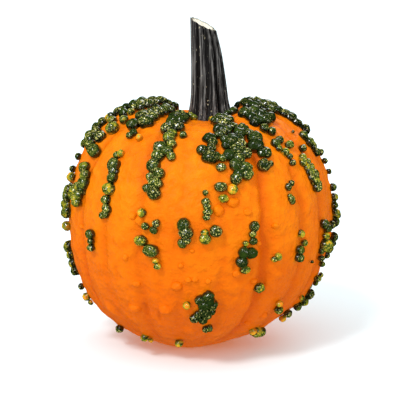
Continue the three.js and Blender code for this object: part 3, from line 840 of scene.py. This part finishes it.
def relief_of(start, height, depth, strength, under=None):
    """Small relief that many millimetres deep, laid over the relief under it."""
    feeds = {"Strength": strength, "Distance": depth * MM, "Height": height}
    if under:
        feeds["Normal"] = under
    return start.node("ShaderNodeBump", {}, feeds)


def close_finish(start, colour, roughness, normal, fixed):
    """The surface shader and the output that end a finish."""
    feeds = {"Base Color": colour, "Roughness": roughness, "Normal": normal, **fixed}
    surface = start.node("ShaderNodeBsdfPrincipled", {}, feeds)
    start.node("ShaderNodeOutputMaterial", {}, {"Surface": surface})
    print("the finish has", len(start.tree.nodes), "nodes")


# %% [markdown]
# The finish of the rind
#
# Ripe rind is a waxy, even orange, but never one flat colour. It is yellower beside the warts and mottled
# all over, and light breaks up over its tiny pits and wrinkles. Painted shade deepens the orange in the
# furrows and creases, in the low spots of the pits and wrinkles, and towards the ground. Each of these is a
# mask of its own, and the masks are laid over each other. The knobs get the same finish.

# %% Build the rind's finish
# The heights between which a painted shade deepens the colour towards the ground.
GROUND_SHADE_FULL_AT = 30 * MM
GROUND_SHADE_GONE_AT = 210 * MM

rind_finish, start, where = new_finish("waxy_rind")
broad = grain(start, where, 60)
mottle = grain(start, where, 9, detail=2)
fine = grain(start, where, 1.6)
flecks = grain(start, where, 3.2, detail=2)
peel = grain(start, where, 3.6, detail=2)
folds = grain(start, stretched(start, where, 0.35, 0.35, 1), 2.4)
near_wart = mark(start, "wart_near")
height = start.node("ShaderNodeSeparateXYZ", {}, {"Vector": where}, "Z")

orange = (broad * 0.55 + mottle * 0.45).between(0.3, 0.7).tint(paint(222, 106, 2), paint(234, 130, 6))
# Painted shade: the orange deepens towards the ground.
orange = ((1 - height.between(GROUND_SHADE_FULL_AT, GROUND_SHADE_GONE_AT)) * 0.75).tint(orange, paint(216, 90, 0))
# Painted shade in the furrows and their narrow lines.
orange = (mark(start, "furrow") * 0.1).tint(orange, paint(200, 78, 1))
# Painted shade in the creases.
orange = (mark(start, "crease") * 0.3).tint(orange, paint(172, 62, 0))
orange = (near_wart * mottle.between(0.4, 0.75) * 0.35).tint(orange, paint(226, 146, 8))
orange = (flecks.between(0.66, 0.8) * 0.3).tint(orange, paint(242, 142, 16))
# Painted shade in the low spots of the pits, dimples and wrinkles.
pit_shade = 1 - (peel * 0.4 + folds * 0.35 + fine * 0.25).between(0.36, 0.6)
orange = (pit_shade * 0.08).tint(orange, paint(190, 70, 1))
scar_colour = mottle.tint(paint(150, 100, 50), paint(190, 140, 85))
orange = mark(start, "scar").between(0.3, 0.8).tint(orange, scar_colour)

rind_roughness = 0.36 + mottle * 0.12 + fine * 0.08
pits = relief_of(start, fine, depth=0.4, strength=0.4)
dimples = relief_of(start, peel, depth=1.2, strength=0.6, under=pits)
wrinkles = relief_of(start, folds, depth=0.5, strength=0.3, under=dimples)
waves = relief_of(start, mottle, depth=3, strength=0.9, under=wrinkles)
close_finish(start, orange, rind_roughness, waves, {"Specular IOR Level": 0.06})
for piece in (rind, knobs):
    piece.data.materials.append(rind_finish)

# %% [markdown]
# The finish of the warts
#
# Most warts are a deep, glossy bottle green with pale flecks, some nearly plain. Younger ones are
# yellow-green, and some are still half orange. One ripeness runs through all of these, from orange over
# yellow to dark green, so a single ramp holds the colours, and each wart's own greenness, noise and flecks
# only move along it. A painted shade darkens the foot of each, where it meets the next.

# %% Build the warts' finish
wart_finish, start, where = new_finish("glossy_warts")
patches = grain(start, where, 6, detail=2)
skin_grain = grain(start, where, 0.9)
rise = mark(start, "rise")
green = mark(start, "green")
tone = mark(start, "tone")
flecked = ((1 - green) * 1.3 + tone * 0.45 + patches * 0.5).between(0.32, 0.9)
speckle = grain(start, where, 1.4, detail=1).between(0.55, 0.66) * flecked

ripeness = green + (patches - 0.5) * (3.2 - green * 2.8) + (tone - 0.5) * 0.12 - speckle * 0.3
wart_colour = start.node(
    "ShaderNodeValToRGB",
    {
        "stops": [
            (0.0, paint(234, 134, 10)),
            (0.18, paint(214, 176, 34)),
            (0.4, paint(142, 146, 32)),
            (0.56, paint(82, 97, 17)),
            (0.76, paint(46, 67, 14)),
            (1.0, paint(26, 43, 9)),
        ]
    },
    {"Fac": ripeness},
)
wart_colour = (speckle * ripeness.between(0.3, 0.5) * 0.9).tint(wart_colour, paint(216, 208, 118))
# Painted shade: the foot of each bead, where it meets the rind or the next, darkens to near black.
painted_foot_shade = 1 - rise.between(0.15, 0.62)
wart_colour = (painted_foot_shade * (ripeness.between(0.3, 0.55) * 0.42 + 0.5)).tint(wart_colour, paint(8, 12, 2))
wart_roughness = 0.16 + skin_grain * 0.14
pits = relief_of(start, skin_grain, depth=0.3, strength=0.3)
lumps = relief_of(start, patches, depth=1, strength=0.4, under=pits)
gloss = {"Specular IOR Level": 0.5, "Coat Weight": 0.6, "Coat Roughness": 0.06}
close_finish(start, wart_colour, wart_roughness, lumps, gloss)
for piece in warts:
    piece.data.materials.append(wart_finish)

# %% [markdown]
# The finish of the stem
#
# The dry stem is charcoal grey, with fine fibres that run its length and a few pale flecks of cork. Its
# grooves are painted near black as shade, and its crests lighter, partly from wear and partly as a painted
# highlight. The cut shows the pale inside, browner at its rim.
# The fibres are noise that is stretched along Z, and the mesh says where the crests and the cut are.

# %% Build the stem's finish
stem_finish, start, where = new_finish("dry_stem")
drawn_out = stretched(start, where, 1, 1, 0.025)
strands = grain(start, drawn_out, 1.5)
streaks = grain(start, drawn_out, 4, detail=2)
cork = grain(start, where, 2.4, detail=1)
crest_mark = mark(start, "crest")
lines = strands.between(0.44, 0.62)
# Wear and painted light: crests lighter, partly as painted highlight; grooves near black as painted shade.
wear_and_painted_light = (crest_mark * 1.1 + lines * 0.5 + streaks * 0.3).between(0.8, 2.0)

bark = wear_and_painted_light.tint(paint(6, 6, 6), paint(124, 123, 120))
bark = (cork.between(0.68, 0.74) * streaks.between(0.4, 0.6) * 0.8).tint(bark, paint(190, 182, 150))
pith = (grain(start, where, 1.1) * 0.6 + grain(start, where, 3, detail=2) * 0.4).between(0.3, 0.7)
pith = pith.tint(paint(205, 198, 176), paint(240, 238, 224))
pith = mark(start, "inset").between(0.86, 0.97).tint(pith, paint(150, 140, 112))
stem_colour = mark(start, "cut").between(0.4, 0.6).tint(bark, pith)
stem_roughness = 0.62 + strands * 0.2 - crest_mark * 0.12
fibre_relief = relief_of(start, strands, depth=1, strength=0.9)
streak_relief = relief_of(start, streaks, depth=1.2, strength=0.4, under=fibre_relief)
close_finish(start, stem_colour, stem_roughness, streak_relief, {"Specular IOR Level": 0.4})
stem.data.materials.append(stem_finish)

# %% [markdown]
# The studio
#
# The squash stands on a plain white floor that is larger than the picture takes in, so no edge shows from
# any side. The floor is a trace cooler than white, which balances the orange light that the fruit throws
# into its own shadow. White surroundings give most of the light, and one lamp as wide as a window adds to
# it from the upper left in front. Mirrored in the glossy warts, all that white would veil their green. So
# neither the surroundings nor the floor show in reflections, and two small lamps in front give each wart
# its pair of highlights. The floor also lets the light through from below, as the squash in the picture
# has no dark underside. A small lamp behind does for the back what those in front do for the face.

# %% The floor
# In millimetres: half its width, and its height, a hair under the flat spot of the fruit.
FLOOR_REACH = 40000
FLOOR_HEIGHT = -0.3

floor_corners = np.array([(-1, -1, 0), (1, -1, 0), (1, 1, 0), (-1, 1, 0)]) * FLOOR_REACH
floor = make_piece("floor", floor_corners + [0, 0, FLOOR_HEIGHT], [(0, 1, 2, 3)], {})
floor_finish, start, where = new_finish("white_floor")
paper = grain(start, where, 300, detail=1)
white = paper.tint(paint(230, 246, 250), paint(234, 249, 253))
paper_relief = relief_of(start, paper, depth=1, strength=0.02)
close_finish(start, white, 0.9 + paper * 0.05, paper_relief, {})
floor.data.materials.append(floor_finish)


# %% The lamps, each with its place in metres
LAMP_AIM = Vector((0, 0, 0.15))


def aimed_lamp(name, kind, place, power, **settings):
    """A lamp that looks at the middle of the squash. A sun's power is in watts per square metre."""
    data = bpy.data.lights.new(name, kind)
    data.energy = power
    for setting, value in settings.items():
        setattr(data, setting, value)
    lamp = bpy.data.objects.new(name, data)
    lamp.location = place
    lamp.rotation_euler = (LAMP_AIM - lamp.location).to_track_quat("-Z", "Y").to_euler()
    bpy.context.scene.collection.objects.link(lamp)
    print(name, "has a power of", power)


aimed_lamp("window", "SUN", (-0.5, -0.75, 1.2), 1.55, angle=math.radians(14))
aimed_lamp("left_lamp", "AREA", (-1.1, -1.4, 0.7), 3.5, size=0.45)
aimed_lamp("right_lamp", "AREA", (1.1, -1.4, 0.7), 3.5, size=0.45)
aimed_lamp("back_lamp", "AREA", (0.5, 1.4, 1.2), 5, size=0.8)

# %% The white surroundings, and what shows in reflections
SURROUNDINGS_STRENGTH = 1.1

surroundings = bpy.data.worlds.new("white_surroundings")
surroundings.use_nodes = True
background = surroundings.node_tree.nodes["Background"]
background.inputs["Color"].default_value = paint(255, 255, 255)
background.inputs["Strength"].default_value = SURROUNDINGS_STRENGTH
surroundings.cycles_visibility.glossy = False
floor.visible_glossy = False
floor.visible_diffuse = False
bpy.context.scene.world = surroundings
bpy.context.scene.view_settings.view_transform = "Standard"
print("the surroundings give a light of", SURROUNDINGS_STRENGTH)

# %% [markdown]
# The camera
#
# The picture was taken from a little above the crown with a long lens, which keeps the far shoulders
# almost as large as the near ones. At this distance and lens, one pixel at the fruit is one millimetre.

# %% Place the camera
AIM = Vector((-0.5, 0, 143)) * MM
CAMERA_FAR = 1500 * MM
CAMERA_PITCH = math.radians(12)
# In millimetres, as cameras count them.
SENSOR_WIDTH = 36
LENS = 135

camera_data = bpy.data.cameras.new("camera")
camera_data.sensor_width = SENSOR_WIDTH
camera_data.lens = LENS
camera = bpy.data.objects.new("camera", camera_data)
camera.location = AIM + CAMERA_FAR * Vector((0, -math.cos(CAMERA_PITCH), math.sin(CAMERA_PITCH)))
camera.rotation_euler = (AIM - camera.location).to_track_quat("-Z", "Y").to_euler()
bpy.context.scene.collection.objects.link(camera)
bpy.context.scene.camera = camera
print("the camera stands at", [round(v, 3) for v in camera.location])
